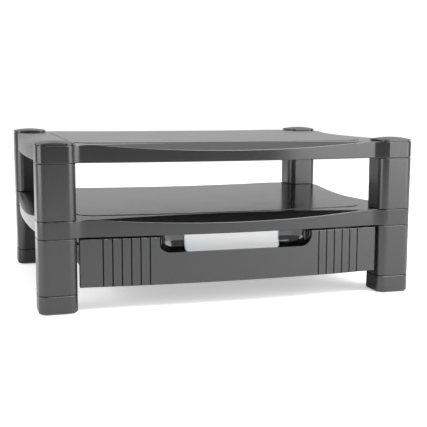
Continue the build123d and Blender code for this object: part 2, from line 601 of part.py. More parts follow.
# ---- Drawer tray ----
with BuildPart() as drawer_tray:
    tray_length = TRAY_REAR_Y - TRAY_FRONT_Y
    tray_middle_y = (TRAY_REAR_Y + TRAY_FRONT_Y) / 2
    with BuildSketch(Plane.XY.offset(TRAY_BOTTOM)):
        with Locations((0, tray_middle_y)):
            RectangleRounded(2 * TRAY_HALF_WIDTH, tray_length, TRAY_RADIUS)
    extrude(amount=TRAY_TOP - TRAY_BOTTOM)
    fillet(drawer_tray.edges().group_by(Axis.Z)[0], TRAY_FLOOR_FILLET)
    with BuildSketch(Plane.XY.offset(TRAY_BOTTOM + TRAY_WALL)):
        with Locations((0, tray_middle_y)):
            RectangleRounded(
                2 * (TRAY_HALF_WIDTH - TRAY_WALL),
                tray_length - 2 * TRAY_WALL,
                TRAY_RADIUS - TRAY_WALL,
            )
    extrude(amount=TRAY_TOP - TRAY_BOTTOM, mode=Mode.SUBTRACT)
    inner_floor = drawer_tray.faces().filter_by(Axis.Z).group_by(Axis.Z)[1]
    fillet(inner_floor.edges(), TRAY_FLOOR_FILLET - 1)
    # flanges that ride on the rails
    flange_length = TRAY_REAR_Y - FLANGE_FRONT_Y
    with BuildSketch(Plane.XY.offset(FLANGE_BOTTOM)):
        for side in (-1, 1):
            flange_x = side * (FLANGE_OUTER_X + TRAY_HALF_WIDTH - TRAY_WALL) / 2
            with Locations((flange_x, FLANGE_FRONT_Y + flange_length / 2)):
                Rectangle(FLANGE + TRAY_WALL, flange_length)
    extrude(amount=FLANGE_THICKNESS)
    # stop nubs under the flanges
    with BuildSketch(Plane.XY.offset(LEDGE_BOTTOM - STOP_DROP)):
        for side in (-1, 1):
            nub_x = side * (TRAY_HALF_WIDTH + STOP_NUB / 2 - TRAY_WALL / 4)
            with Locations((nub_x, NUB_FRONT_Y + STOP_NUB / 2)):
                Rectangle(STOP_NUB + TRAY_WALL / 2, STOP_NUB)
    extrude(amount=STOP_DROP - RAIL_TOP_CLEARANCE)
    # opening for the finger cup, and screw holes
    with BuildSketch(Plane.XZ.offset(-TRAY_FRONT_Y - TRAY_WALL)):
        cup_hole_bottom = CUP_FLOOR_Z - CUP_WALL - CUP_GAP
        with Locations((0, cup_hole_bottom)):
            Rectangle(
                2 * (CUP_HALF_WIDTH + CUP_GAP),
                TRAY_TOP - cup_hole_bottom,
                align=(Align.CENTER, Align.MIN),
            )
        with Locations(*FRONT_SCREW_PLACES):
            Circle(SCREW_HOLE_RADIUS)
    extrude(amount=TRAY_WALL, mode=Mode.SUBTRACT)
save(drawer_tray, "drawer_tray")

# ---- Finger cup behind the notch ----
with BuildPart() as finger_cup:
    cup_depth = CUP_BACK + CUP_WALL
    cup_bottom = CUP_FLOOR_Z - CUP_WALL
    with BuildSketch(Plane.XY.offset(cup_bottom)) as cup_plan:
        with Locations((0, CUP_BACK_Y + CUP_WALL - cup_depth)):
            RectangleRounded(2 * CUP_HALF_WIDTH, 2 * cup_depth, CUP_END_RADIUS + CUP_WALL)
        plan_behind_front(FRONT_WALL)
    extrude(amount=CUP_TOP - cup_bottom)
    # lip held between the drawer front and the tray
    with BuildSketch(Plane.XZ.offset(-FRONT_BACK_Y)):
        lip_bottom = cup_bottom - CUP_LIP
        with Locations((0, lip_bottom)):
            Rectangle(
                2 * (CUP_HALF_WIDTH + CUP_LIP),
                DRAWER_TOP - FRONT_WALL - CUP_GAP - lip_bottom,
                align=(Align.CENTER, Align.MIN),
            )
    extrude(amount=CUP_WALL)
    with BuildSketch(Plane.XY.offset(CUP_FLOOR_Z)):
        inner_depth = CUP_BACK
        with Locations((0, CUP_BACK_Y - inner_depth)):
            RectangleRounded(2 * (CUP_HALF_WIDTH - CUP_WALL), 2 * inner_depth, CUP_END_RADIUS)
    extrude(amount=CUP_TOP - CUP_FLOOR_Z, mode=Mode.SUBTRACT)
    cup_floor = finger_cup.faces().filter_by(Axis.Z).filter_by_position(
        Axis.Z, CUP_FLOOR_Z - CUP_GAP, CUP_FLOOR_Z + CUP_GAP
    )
    floor_edges = [
        e for e in cup_floor[0].edges() if e.center().Y > CUP_BACK_Y - CUP_END_RADIUS
    ]
    fillet(floor_edges, CUP_FLOOR_FILLET)
save(finger_cup, "finger_cup")

# ---- Blank label plate, bent to follow the cup's back wall ----
with BuildPart() as label_plate:
    bend_centre = (CUP_BACK_Y - CUP_FLOOR_FILLET, CUP_FLOOR_Z + CUP_FLOOR_FILLET)
    outer_bend = CUP_FLOOR_FILLET - LABEL_GAP
    with BuildSketch(Plane.YZ.offset(-LABEL_WIDTH / 2)):
        with BuildLine():
            back = CenterArc(bend_centre, outer_bend, 0, -LABEL_SWEEP)
            face = CenterArc(bend_centre, outer_bend - LABEL_THICKNESS, 0, -LABEL_SWEEP)
            Line(back @ 1, face @ 1)
            back_top = (CUP_BACK_Y - LABEL_GAP, LABEL_TOP)
            face_top = (CUP_BACK_Y - LABEL_GAP - LABEL_THICKNESS, LABEL_TOP)
            Polyline(back @ 0, back_top, face_top, face @ 0)
        make_face()
    extrude(amount=LABEL_WIDTH)
    through_edges = label_plate.edges().filter_by(lambda e: e.length < 2 * LABEL_THICKNESS)
    fillet(through_edges.sort_by(Axis.Z)[:2], LABEL_RADIUS)
save(label_plate, "label_plate")

# ---- Rails and screws ----
save(build_rail(-1), "drawer_rail_left")
save(build_rail(1), "drawer_rail_right")

with BuildPart() as rail_screws:
    for ear_x, ear_y in EAR_PLACES:
        add(build_screw((ear_x, ear_y, LOWER_BASE - RAIL_WALL), (0, 0, 1)).part)
save(rail_screws, "rail_screws")

with BuildPart() as front_screws:
    for screw_x, screw_z in FRONT_SCREW_PLACES:
        seat = (screw_x, TRAY_FRONT_Y + TRAY_WALL, screw_z)
        add(build_screw(seat, (0, -1, 0)).part)
save(front_screws, "front_screws")
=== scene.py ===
# %% [markdown]
# # A two-tier monitor riser in black moulded plastic
#
# The stand is made of about thirty mouldings that plug into each other: two platforms, four
# corner posts in sections, and a drawer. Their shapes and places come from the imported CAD
# frame, so this file is about finishes: how near-black plastic, rubber, zinc plate and a blank
# label catch studio light. Only the pieces with fine repeated detail, the screws and the
# ribbed pads, are modelled again here.

# %% Load the frame
import json
import math

import bpy
from mathutils import Matrix, Vector

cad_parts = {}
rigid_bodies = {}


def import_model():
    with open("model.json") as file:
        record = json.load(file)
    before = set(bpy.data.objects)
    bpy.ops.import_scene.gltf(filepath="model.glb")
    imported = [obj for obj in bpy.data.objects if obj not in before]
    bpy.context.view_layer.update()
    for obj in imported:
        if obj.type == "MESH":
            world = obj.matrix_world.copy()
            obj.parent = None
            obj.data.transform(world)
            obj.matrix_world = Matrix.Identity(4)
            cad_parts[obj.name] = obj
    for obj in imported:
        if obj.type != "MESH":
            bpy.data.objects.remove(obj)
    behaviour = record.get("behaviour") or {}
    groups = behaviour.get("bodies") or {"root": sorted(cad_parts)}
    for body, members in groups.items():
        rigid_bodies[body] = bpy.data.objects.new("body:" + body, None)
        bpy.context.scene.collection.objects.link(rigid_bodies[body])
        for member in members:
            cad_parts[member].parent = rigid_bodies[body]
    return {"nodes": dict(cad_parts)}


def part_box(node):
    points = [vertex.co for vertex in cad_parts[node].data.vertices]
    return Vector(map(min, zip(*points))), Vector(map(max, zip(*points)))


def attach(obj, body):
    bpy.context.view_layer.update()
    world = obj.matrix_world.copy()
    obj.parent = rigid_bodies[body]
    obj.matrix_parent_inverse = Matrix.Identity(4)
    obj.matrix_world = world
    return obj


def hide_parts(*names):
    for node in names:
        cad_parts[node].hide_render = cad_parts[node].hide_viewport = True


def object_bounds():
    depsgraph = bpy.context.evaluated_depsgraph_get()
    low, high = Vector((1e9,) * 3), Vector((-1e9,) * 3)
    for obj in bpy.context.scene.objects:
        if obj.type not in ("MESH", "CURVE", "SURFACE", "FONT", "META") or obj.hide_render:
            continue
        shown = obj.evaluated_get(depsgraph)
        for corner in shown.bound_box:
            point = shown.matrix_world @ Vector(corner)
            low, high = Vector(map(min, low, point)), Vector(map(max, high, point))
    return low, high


for leftover in list(bpy.data.objects):
    bpy.data.objects.remove(leftover)
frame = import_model()
cad_low, cad_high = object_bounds()
size = cad_high - cad_low
print(f"{len(frame['nodes'])} CAD nodes in a box of {size.x:.3f} x {size.y:.3f} x {size.z:.3f} m")

# %% [markdown]
# ## Camera
#
# A product photographer stands well back with a long lens, a little above the object and off
# to its left, so the front face stays nearly square while the top and the left side show. The
# lens is 75 mm on a full-frame sensor. The picture was cropped after it was taken, and the
# camera's horizontal shift stands for that crop.

# %% Camera
CAMERA_PLACE = Vector((-0.298, -1.099, 0.235))
CAMERA_TURN = math.radians(18.12)  # towards +X
CAMERA_TILT = math.radians(7.79)  # below the horizon
CAMERA_ROLL = math.radians(0.41)

camera_data = bpy.data.cameras.new("camera")
camera_data.lens = 75.4
camera_data.sensor_width = 36.0
camera_data.shift_x = -0.0692
camera_data.clip_start = 0.05
camera_data.clip_end = 50.0
camera = bpy.data.objects.new("camera", camera_data)
bpy.context.scene.collection.objects.link(camera)
forward = Vector(
    (
        math.sin(CAMERA_TURN) * math.cos(CAMERA_TILT),
        math.cos(CAMERA_TURN) * math.cos(CAMERA_TILT),
        -math.sin(CAMERA_TILT),
    )
)
level_right = Vector((math.cos(CAMERA_TURN), -math.sin(CAMERA_TURN), 0.0))
right = Matrix.Rotation(-CAMERA_ROLL, 3, forward) @ level_right
upward = right.cross(forward)
turned = Matrix((right, upward, -forward)).transposed().to_4x4()
camera.matrix_world = Matrix.Translation(CAMERA_PLACE) @ turned
bpy.context.scene.camera = camera
print("camera looks along", [round(v, 3) for v in forward])

# %% [markdown]
# ## Nodes without the clutter
#
# Every finish below is a small network of nodes, and so is every shape that Geometry Nodes
# grow. Writing each node and link by hand buries the idea, so `add_node` makes any node from
# its type, its settings and its sockets. Settings come first, because some of them change
# which sockets the node has.

# %% Adding nodes
def put(tree, socket, value):
    """Link a wire to a socket, or set the socket's own value."""
    if isinstance(value, Wire):
        tree.links.new(value.socket, socket)
    else:
        socket.default_value = value


def add_node(tree, kind, settings=None, inputs=None, output=0):
    """Add a node: settings first, then the values or links of its sockets."""
    made = tree.nodes.new(kind)
    for name, value in (settings or {}).items():
        if name == "stops":
            set_stops(made.color_ramp, value)
        else:
            setattr(made, name, value)
    for name, value in (inputs or {}).items():
        put(tree, made.inputs[name], value)
    return Wire(made.outputs[output])


def set_stops(ramp, stops):
    """Give a colour ramp its (position, grey level) stops."""
    while len(ramp.elements) < len(stops):
        ramp.elements.new(0.5)
    for element, (position, level) in zip(ramp.elements, stops):
        element.position = position
        element.color = (level, level, level, 1.0)


# %% [markdown]
# ## Sums written as Python
#
# A pattern is mostly arithmetic: how far a point is from an edge, how strong a scuff is there.
# `Wire` wraps an output socket and overloads the operators, so `1 - mask` adds a Math node and
# reads as a sum. The same class works in shader trees and in geometry trees.

# %% Wires
class Wire:
    """An output socket that can stand in a Python sum."""

    def __init__(self, socket):
        self.socket = socket
        self.tree = socket.id_data

    def math(self, operation, first, second=None, clamp=False):
        settings = {"operation": operation, "use_clamp": clamp}
        inputs = {0: first} if second is None else {0: first, 1: second}
        return add_node(self.tree, "ShaderNodeMath", settings, inputs)

    def __add__(self, other):
        return self.math("ADD", self, other)

    def __radd__(self, other):
        return self.math("ADD", other, self)

    def __sub__(self, other):
        return self.math("SUBTRACT", self, other)

    def __rsub__(self, other):
        return self.math("SUBTRACT", other, self)

    def __mul__(self, other):
        return self.math("MULTIPLY", self, other)

    def __rmul__(self, other):
        return self.math("MULTIPLY", other, self)

    def __truediv__(self, other):
        return self.math("DIVIDE", self, other)

    def __rtruediv__(self, other):
        return self.math("DIVIDE", other, self)

    def __neg__(self):
        return self.math("MULTIPLY", self, -1.0)

    def __abs__(self):
        return self.math("ABSOLUTE", self)

    def least(self, other):
        return self.math("MINIMUM", self, other)

    def most(self, other):
        return self.math("MAXIMUM", self, other)

    def clamped(self):
        return self.math("ADD", self, 0.0, clamp=True)

    def axes(self):
        """The x, y and z parts of a vector wire."""
        split = add_node(self.tree, "ShaderNodeSeparateXYZ", {}, {0: self})
        return [Wire(socket) for socket in split.socket.node.outputs]


def combine(tree, x=0.0, y=0.0, z=0.0):
    """A vector from three values or wires."""
    return add_node(tree, "ShaderNodeCombineXYZ", {}, {0: x, 1: y, 2: z})


# %% [markdown]
# ## The pieces of a finish
#
# Every plastic, rubber and metal here starts from the same few ideas: a place on the object, a
# noise at a real scale, a mix of two close colours, and a bump so shallow that only the
# highlight notices. Object coordinates are metres from the stand's own origin, so a scale of
# 1000 repeats about every millimetre on every piece.

# %% Finish tools
def new_finish(name, ior=1.5):
    """A material with its tree, its Principled surface and the place on the object."""
    material = bpy.data.materials.new(name)
    material.use_nodes = True
    tree = material.node_tree
    surface = tree.nodes["Principled BSDF"]
    surface.inputs["IOR"].default_value = ior
    return material, tree, surface, add_node(tree, "ShaderNodeTexCoord", output="Object")


def noise(tree, place, scale, detail=2.0, roughness=0.5):
    """Fractal noise around 0.5 at so many repeats per metre."""
    inputs = {"Vector": place, "Scale": scale, "Detail": detail, "Roughness": roughness}
    return add_node(tree, "ShaderNodeTexNoise", {}, inputs)


def stretched(tree, place, x, y, z):
    """The place with each axis scaled, to draw a noise out along one direction."""
    settings = {"operation": "MULTIPLY"}
    return add_node(tree, "ShaderNodeVectorMath", settings, {0: place, 1: (x, y, z)})


def ramp(tree, value, *stops):
    """Map a value through a ramp of grey levels."""
    return add_node(tree, "ShaderNodeValToRGB", {"stops": stops}, {"Fac": value})


def mix_colour(tree, share, first, second):
    """The first colour where share is 0, the second where it is 1."""
    settings = {"data_type": "RGBA", "clamp_factor": True}
    return add_node(tree, "ShaderNodeMix", settings, {0: share, 6: first, 7: second}, output=2)


def grey(level, tint=(1.0, 1.0, 1.0)):
    """A linear colour of one brightness, slightly tinted."""
    return (level * tint[0], level * tint[1], level * tint[2], 1.0)


def bump(tree, height, depth, strength=1.0, under=None):
    """A bump of so many metres, laid over another one when given."""
    inputs = {"Strength": strength, "Distance": depth, "Height": height}
    if under is not None:
        inputs["Normal"] = under
    return add_node(tree, "ShaderNodeBump", {}, inputs)


# %% [markdown]
# ## Black moulded plastic
#
# The whole stand is injection-moulded polystyrene, coloured almost black. Such a moulding isn't
# one flat black. The steel mould is spark-eroded, which leaves a fine pebble, and where the
# melt met thick ribs the skin sinks by a few hundredths of a millimetre, so a reflection
# wanders instead of lying flat. Handling leaves short hairline scratches, and a little dust
# settles on faces that look up.
#
# A single colour with a gloss value would do from across a room. The detail is what keeps it
# from looking like a drawing close to, so one function builds the whole finish, and each
# family of mouldings calls it with its own numbers.

# %% Moulded plastic
COOL = (0.98, 1.0, 1.03)
SCRATCH_TURNS = (0.4, 1.9)  # the two ways that hairline scratches run, in radians


def hairlines(tree, place, turn):
    """Short thin scratches: the crests of a noise drawn out along one direction."""
    turned_place = add_node(
        tree, "ShaderNodeVectorRotate", {"rotation_type": "Z_AXIS"}, {"Vector": place, "Angle": turn}
    )
    drawn = noise(tree, stretched(tree, turned_place, 55.0, 1500.0, 1500.0), 1.0, 1.0)
    return ramp(tree, drawn, (0.70, 0.0), (0.76, 1.0))


def moulded_plastic(name, level, roughness, pebble=0.35, waviness=0.0, dust=0.0, scratches=0.0):
    """Spark-eroded moulded plastic of one brightness."""
    material, tree, surface, place = new_finish(name, ior=1.52)
    pebbles = noise(tree, place, 1500.0)
    coarse = noise(tree, place, 520.0, 1.0)
    cloud = noise(tree, place, 24.0, 3.0)
    body = mix_colour(
        tree, pebbles * 0.6 + cloud * 0.4, grey(level * 0.8, COOL), grey(level * 1.25, COOL)
    )
    shine = pebbles * 0.05 + cloud * 0.05 + (roughness - 0.05)
    if scratches:
        lines = hairlines(tree, place, SCRATCH_TURNS[0]) + hairlines(tree, place, SCRATCH_TURNS[1])
        lines = (lines * scratches).clamped()
        body = mix_colour(tree, lines * 0.5, body, grey(level * 2.5))
        shine = shine + lines * 0.12
    if dust:
        facing = add_node(tree, "ShaderNodeNewGeometry", output="Normal").axes()[2]
        specks = (noise(tree, place, 900.0, 3.0) - 0.58).clamped() * 6.0
        settled = (specks * facing.clamped() * dust).clamped()
        body = mix_colour(tree, settled, body, grey(0.25))
    put(tree, surface.inputs["Base Color"], body)
    put(tree, surface.inputs["Roughness"], shine)
    relief = bump(tree, pebbles * 0.55 + coarse * 0.45, 0.00005, pebble)
    if waviness:
        relief = bump(tree, noise(tree, place, 16.0, 1.0), 0.0008, waviness, relief)
    put(tree, surface.inputs["Normal"], relief)
    return material


# %% [markdown]
# ## Dressing the CAD nodes
#
# A CAD node keeps its mesh. Only its material slots are filled, so the moulding can't drift
# from the CAD piece.

# %% Dressing
def dress(names, material):
    """Give CAD nodes their finish without touching their meshes."""
    for name in names:
        for slot in frame["nodes"][name].material_slots:
            slot.material = material
    print(f"{material.name}: {', '.join(names)}")


def family(*starts):
    """Names of the CAD nodes that begin with any of these words."""
    return [n for n in sorted(frame["nodes"]) if n.startswith(starts)]


# %% [markdown]
# ## Platforms
#
# The two decks are the glossiest mouldings: their mould is stoned smooth so that a monitor
# foot slides on them. Seen at a low angle they mirror the white surround and the posts, softly
# and a little unevenly over the ribs. They also collect the most dust and scratches.

# %% Platforms
platform_plastic = moulded_plastic(
    "platform_plastic", 0.005, 0.18, pebble=0.12, waviness=0.06, dust=0.12, scratches=0.5
)
dress(["upper_platform", "lower_platform"], platform_plastic)

# %% [markdown]
# ## Posts
#
# The column sections, feet and caps come from another mould with a satin texture. They stand
# upright, so they stay free of dust, and their broad highlights are softer than the decks'.

# %% Posts
post_plastic = moulded_plastic("post_plastic", 0.010, 0.22, waviness=0.06, scratches=0.15)
posts = family("foot_front", "foot_rear", "lower_column", "upper_column", "top_cap")
dress(posts, post_plastic)

# %% [markdown]
# ## Drawer front and tray
#
# The drawer front matches the posts and is a touch glossier, since hands polish it. The tray
# behind it is a cheaper, rougher moulding that nobody looks at until the drawer is open: its
# texture is deep, and what is kept in it leaves more scratches and some dust.

# %% Drawer
drawer_plastic = moulded_plastic("drawer_plastic", 0.012, 0.22, waviness=0.10, scratches=0.2)
dress(["drawer_front"], drawer_plastic)
tray_plastic = moulded_plastic(
    "tray_plastic", 0.016, 0.34, pebble=0.7, waviness=0.1, dust=0.2, scratches=0.9
)
dress(["drawer_tray"], tray_plastic)

# %% [markdown]
# ## Finger cup
#
# The pull is a polished black scoop. Polish means that roughness is nearly nothing and that the
# highlight is small and sharp, so the cup's rounded ends show a comet of light while the rest
# stays black. Fingertips leave greasy smears, a noise over all its walls that dulls the gloss a
# little and lifts the black slightly.

# %% Finger cup
def polished_plastic(name, level, roughness):
    """Glossy black plastic with finger smears in its gloss."""
    material, tree, surface, place = new_finish(name, ior=1.55)
    smears = ramp(tree, noise(tree, place, 90.0, 4.0, 0.6), (0.5, 0.0), (0.75, 1.0))
    put(tree, surface.inputs["Base Color"], mix_colour(tree, smears, grey(level), grey(level * 2)))
    put(tree, surface.inputs["Roughness"], smears * 0.16 + roughness)
    put(tree, surface.inputs["Coat Weight"], 0.25 - smears * 0.2)
    surface.inputs["Coat Roughness"].default_value = 0.04
    put(tree, surface.inputs["Normal"], bump(tree, noise(tree, place, 60.0, 1.0), 0.0002, 0.15))
    return material


dress(["finger_cup"], polished_plastic("cup_plastic", 0.004, 0.08))

# %% [markdown]
# ## Rails
#
# The rails are a slippery plastic, satin and a little greyer. The drawer's flanges ride in them
# along Y, and years of that leave fine drag lines the length of the rail. They are a noise
# drawn out along Y, so they follow the motion.

# %% Rails
def rubbed_plastic(name, level, roughness):
    """Slippery plastic with drag lines along Y, polished where the drawer rubs."""
    material, tree, surface, place = new_finish(name, ior=1.48)
    drag = noise(tree, stretched(tree, place, 2600.0, 14.0, 2600.0), 1.0, 2.0)
    worn = ramp(tree, drag, (0.48, 0.0), (0.72, 1.0))
    put(tree, surface.inputs["Base Color"], mix_colour(tree, worn, grey(level), grey(level * 2.2)))
    put(tree, surface.inputs["Roughness"], roughness - worn * 0.14)
    put(tree, surface.inputs["Normal"], bump(tree, drag, 0.00004, 0.4))
    return material


dress(["drawer_rail_left", "drawer_rail_right"], rubbed_plastic("rail_plastic", 0.02, 0.4))

# %% [markdown]
# ## Label plate
#
# A blank white card lies behind a thin clear cover, bent with the cup's wall. The card is cool
# white paper with a faint fibre, the cover's rim shows as a slightly darker, bluer frame round
# it, and the cover adds a hard gloss over both. The frame is found from the plate's own box: the
# distance from a point to the nearest edge, turned into a mask.

# %% Label plate
RIM_WIDTH = 0.0011
RIM_SOFTNESS = 0.0003


def label_card(name):
    """White card under a clear cover, with the cover's rim as a frame."""
    material, tree, surface, place = new_finish(name, ior=1.49)
    low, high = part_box("label_plate")
    middle = (low + high) / 2
    half = (high - low) / 2
    x, y, z = place.axes()
    inside = (half.x - abs(x - middle.x)).least(half.z - abs(z - middle.z))
    card = ((inside - RIM_WIDTH) / RIM_SOFTNESS).clamped()
    fibre = noise(tree, stretched(tree, place, 900.0, 900.0, 2600.0), 1.0, 3.0)
    paper = mix_colour(tree, fibre, grey(0.74, (0.97, 1.0, 1.02)), grey(0.84, (0.98, 1.0, 1.02)))
    colour = mix_colour(tree, card, grey(0.62, (0.93, 0.99, 1.03)), paper)
    put(tree, surface.inputs["Base Color"], colour)
    put(tree, surface.inputs["Roughness"], card * 0.3 + 0.15)
    put(tree, surface.inputs["Coat Weight"], 1.0 - card * 0.3)
    surface.inputs["Coat Roughness"].default_value = 0.06
    put(tree, surface.inputs["Normal"], bump(tree, fibre, 0.00002, 0.3))
    print(f"label plate {half.x * 2000:.1f} x {half.z * 2000:.1f} mm")
    return material


dress(["label_plate"], label_card("label_card"))

# %% [markdown]
# ## Geometry trees
#
# The screws and the pads repeat, so Geometry Nodes grow them: one shape, placed on points. Each
# tree has named inputs for its sizes, so the same tree serves two kinds of screw. `new_tree`
# makes the empty tree with those inputs, and `grow` runs it: the points become a mesh, the
# modifier's inputs are set by each socket's identifier, and the evaluated result is copied into
# a plain mesh that the frame can carry.

# %% Geometry trees
def new_tree(name, sizes):
    """A geometry tree and its inputs: points, named sizes and a finish."""
    tree = bpy.data.node_groups.new(name, "GeometryNodeTree")
    face = tree.interface
    face.new_socket(name="Geometry", in_out="OUTPUT", socket_type="NodeSocketGeometry")
    face.new_socket(name="Points", in_out="INPUT", socket_type="NodeSocketGeometry")
    for label in sizes:
        face.new_socket(name=label, in_out="INPUT", socket_type="NodeSocketFloat")
    face.new_socket(name="Finish", in_out="INPUT", socket_type="NodeSocketMaterial")
    given = tree.nodes.new("NodeGroupInput")
    return tree, {socket.name: Wire(socket) for socket in given.outputs if socket.name}


def repeat_on_points(tree, given, shape, turn=None):
    """Put a shape on every point, make it real, give it its finish, and end the tree."""
    inputs = {"Points": given["Points"], "Instance": shape}
    if turn is not None:
        inputs["Rotation"] = add_node(tree, "FunctionNodeEulerToRotation", {}, {0: turn})
    copies = add_node(tree, "GeometryNodeInstanceOnPoints", {}, inputs)
    real = add_node(tree, "GeometryNodeRealizeInstances", {}, {0: copies})
    done = add_node(
        tree, "GeometryNodeSetMaterial", {}, {"Geometry": real, "Material": given["Finish"]}
    )
    put(tree, tree.nodes.new("NodeGroupOutput").inputs[0], done)


def grow(name, tree, places, sizes, finish):
    """Run a tree on a list of places and return the result as a plain mesh object."""
    seed_mesh = bpy.data.meshes.new(f"{name}_points")
    seed_mesh.from_pydata(places, [], [])
    seed = bpy.data.objects.new(f"{name}_points", seed_mesh)
    bpy.context.scene.collection.objects.link(seed)
    modifier = seed.modifiers.new("grow", "NODES")
    modifier.node_group = tree
    for socket in tree.interface.items_tree:
        if socket.in_out == "INPUT" and socket.name in sizes:
            modifier[socket.identifier] = float(sizes[socket.name])
        elif socket.in_out == "INPUT" and socket.name == "Finish":
            modifier[socket.identifier] = finish
    evaluated = seed.evaluated_get(bpy.context.evaluated_depsgraph_get())
    mesh = bpy.data.meshes.new_from_object(evaluated)
    seed.modifiers.clear()
    bpy.data.objects.remove(seed)
    mesh.name = name
    piece = bpy.data.objects.new(name, mesh)
    bpy.context.scene.collection.objects.link(piece)
    print(f"{name}: {len(places)} copies, {len(mesh.polygons)} faces")
    return piece


# %% [markdown]
# ## Rubber
#
# The pads are soft black rubber. Rubber is dull because its skin is rough at every scale, and
# it blooms: wax works its way out and leaves pale clouds, with grit pressed in between.

# %% Rubber
def pad_rubber(name):
    """Dull rubber with a pale bloom and trodden-in grit."""
    material, tree, surface, place = new_finish(name, ior=1.45)
    bloom = ramp(tree, noise(tree, place, 130.0, 4.0, 0.6), (0.4, 0.0), (0.8, 1.0))
    grain = noise(tree, place, 2200.0, 3.0)
    grit = ramp(tree, noise(tree, place, 1300.0, 1.0), (0.72, 0.0), (0.78, 1.0))
    dull = mix_colour(tree, bloom, grey(0.010), grey(0.026, (1.05, 1.0, 0.95)))
    put(tree, surface.inputs["Base Color"], mix_colour(tree, grit * 0.4, dull, grey(0.12)))
    put(tree, surface.inputs["Roughness"], bloom * 0.15 + 0.68)
    put(tree, surface.inputs["Normal"], bump(tree, grain, 0.00008, 0.6))
    return material


rubber = pad_rubber("pad_rubber")

# %% [markdown]
# ## Ribbed pads
#
# A pad is a rounded square of rubber, let into the underside of each foot, and its lower face is
# grooved so that it grips and doesn't stick. A quadrilateral curve with filleted corners gives
# the outline, filling and extruding it gives the slab, and a row of bars is cut from it with a
# Boolean. The slab has to be closed before the cut, so the fill is turned over and kept as the
# lower face, and the extruded copy is the upper one.

# %% Ribbed pads
PAD_SIZES = {
    "Side": 0.029,
    "Corner": 0.006,
    "Thickness": 0.0023,
    "Pitch": 0.0036,
    "Groove": 0.0013,
    "Depth": 0.0006,
}
GROOVES = 7
CORNER_STEPS = 8  # straight steps round each corner
WELD = 0.00001  # vertices closer than this are one

def ribbed_pad_tree():
    """Grow rounded-square slabs with a row of grooves in their lower faces."""
    tree, given = new_tree("ribbed_pad", PAD_SIZES)
    outline = add_node(
        tree,
        "GeometryNodeCurvePrimitiveQuadrilateral",
        {"mode": "RECTANGLE"},
        {"Width": given["Side"], "Height": given["Side"]},
    )
    outline = add_node(
        tree,
        "GeometryNodeFilletCurve",
        {"mode": "POLY"},
        {"Curve": outline, "Radius": given["Corner"], "Count": CORNER_STEPS},
    )
    lower_face = add_node(tree, "GeometryNodeFillCurve", {"mode": "NGONS"}, {"Curve": outline})
    upper_part = add_node(
        tree,
        "GeometryNodeExtrudeMesh",
        {"mode": "FACES"},
        {
            "Mesh": lower_face,
            "Offset": combine(tree, 0.0, 0.0, 1.0),
            "Offset Scale": given["Thickness"],
            "Individual": False,
        },
    )
    turned_face = add_node(tree, "GeometryNodeFlipFaces", {}, {"Mesh": lower_face})
    slab = add_node(tree, "GeometryNodeJoinGeometry")
    for part in (turned_face, upper_part):
        tree.links.new(part.socket, slab.socket.node.inputs[0])
    slab = add_node(
        tree, "GeometryNodeMergeByDistance", {}, {"Geometry": slab, "Distance": WELD}
    )
    bar = add_node(
        tree,
        "GeometryNodeMeshCube",
        {},
        {"Size": combine(tree, given["Groove"], given["Side"] * 2.0, given["Depth"] * 2.0)},
    )
    row = add_node(
        tree,
        "GeometryNodeMeshLine",
        {"mode": "OFFSET"},
        {
            "Count": GROOVES,
            "Start Location": combine(tree, given["Pitch"] * (-(GROOVES - 1) / 2)),
            "Offset": combine(tree, given["Pitch"]),
        },
    )
    bars = add_node(tree, "GeometryNodeInstanceOnPoints", {}, {"Points": row, "Instance": bar})
    bars = add_node(tree, "GeometryNodeRealizeInstances", {}, {0: bars})
    grooved = add_node(
        tree, "GeometryNodeMeshBoolean", {"operation": "DIFFERENCE"}, {"Mesh 1": slab}
    )
    tree.links.new(bars.socket, grooved.socket.node.inputs["Mesh 2"])
    repeat_on_points(tree, given, grooved)
    return tree


ribbed_pad = ribbed_pad_tree()
print(f"pad with {GROOVES} grooves")

# %% [markdown]
# ## Placing the pads
#
# Each pad grows on the middle of its CAD node's lower face. All four are one mesh that rides on
# the stand and stands in for the plain CAD pads.

# %% Place the pads
pad_nodes = family("foot_pad")
pad_places = []
for node in pad_nodes:
    low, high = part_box(node)
    pad_places.append(((low.x + high.x) / 2, (low.y + high.y) / 2, low.z))
pads = grow("ribbed_pads", ribbed_pad, pad_places, PAD_SIZES, rubber)
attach(pads, "stand")
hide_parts(*pad_nodes)

# %% [markdown]
# ## Zinc-plated steel
#
# The screws are cheap steel, zinc plated. Fresh zinc is a cool grey metal with a faint yellow
# and blue bloom from its passivation, and the cross is where the driver has cut through it.

# %% Zinc plate
def zinc_plate(name):
    """Plated steel: a metal whose tint and gloss drift across it."""
    material, tree, surface, place = new_finish(name)
    drift = noise(tree, place, 260.0, 2.0)
    fine = noise(tree, place, 3200.0, 2.0)
    tone = mix_colour(tree, drift, (0.50, 0.50, 0.44, 1.0), (0.52, 0.56, 0.62, 1.0))
    put(tree, surface.inputs["Base Color"], tone)
    surface.inputs["Metallic"].default_value = 1.0
    put(tree, surface.inputs["Roughness"], drift * 0.15 + fine * 0.1 + 0.2)
    put(tree, surface.inputs["Normal"], bump(tree, fine, 0.00002, 0.5))
    return material


zinc = zinc_plate("screw_steel")

# %% [markdown]
# ## Pan-head screws
#
# A screw is a surface of revolution with a helix on it, so it follows a rule, and a grid can be
# bent to that rule. The grid's columns go once round the axis and its rows run from the crown
# of the head to the tip. Each row has a distance along the screw, from which come a radius and a
# height, and on the shank a zigzag of height plus angle adds the thread. The grid's seam and its
# two poles are then merged, and the cross is cut with two bars.
#
# Modelling a helix by hand would take hundreds of vertices. Here it is one sum.

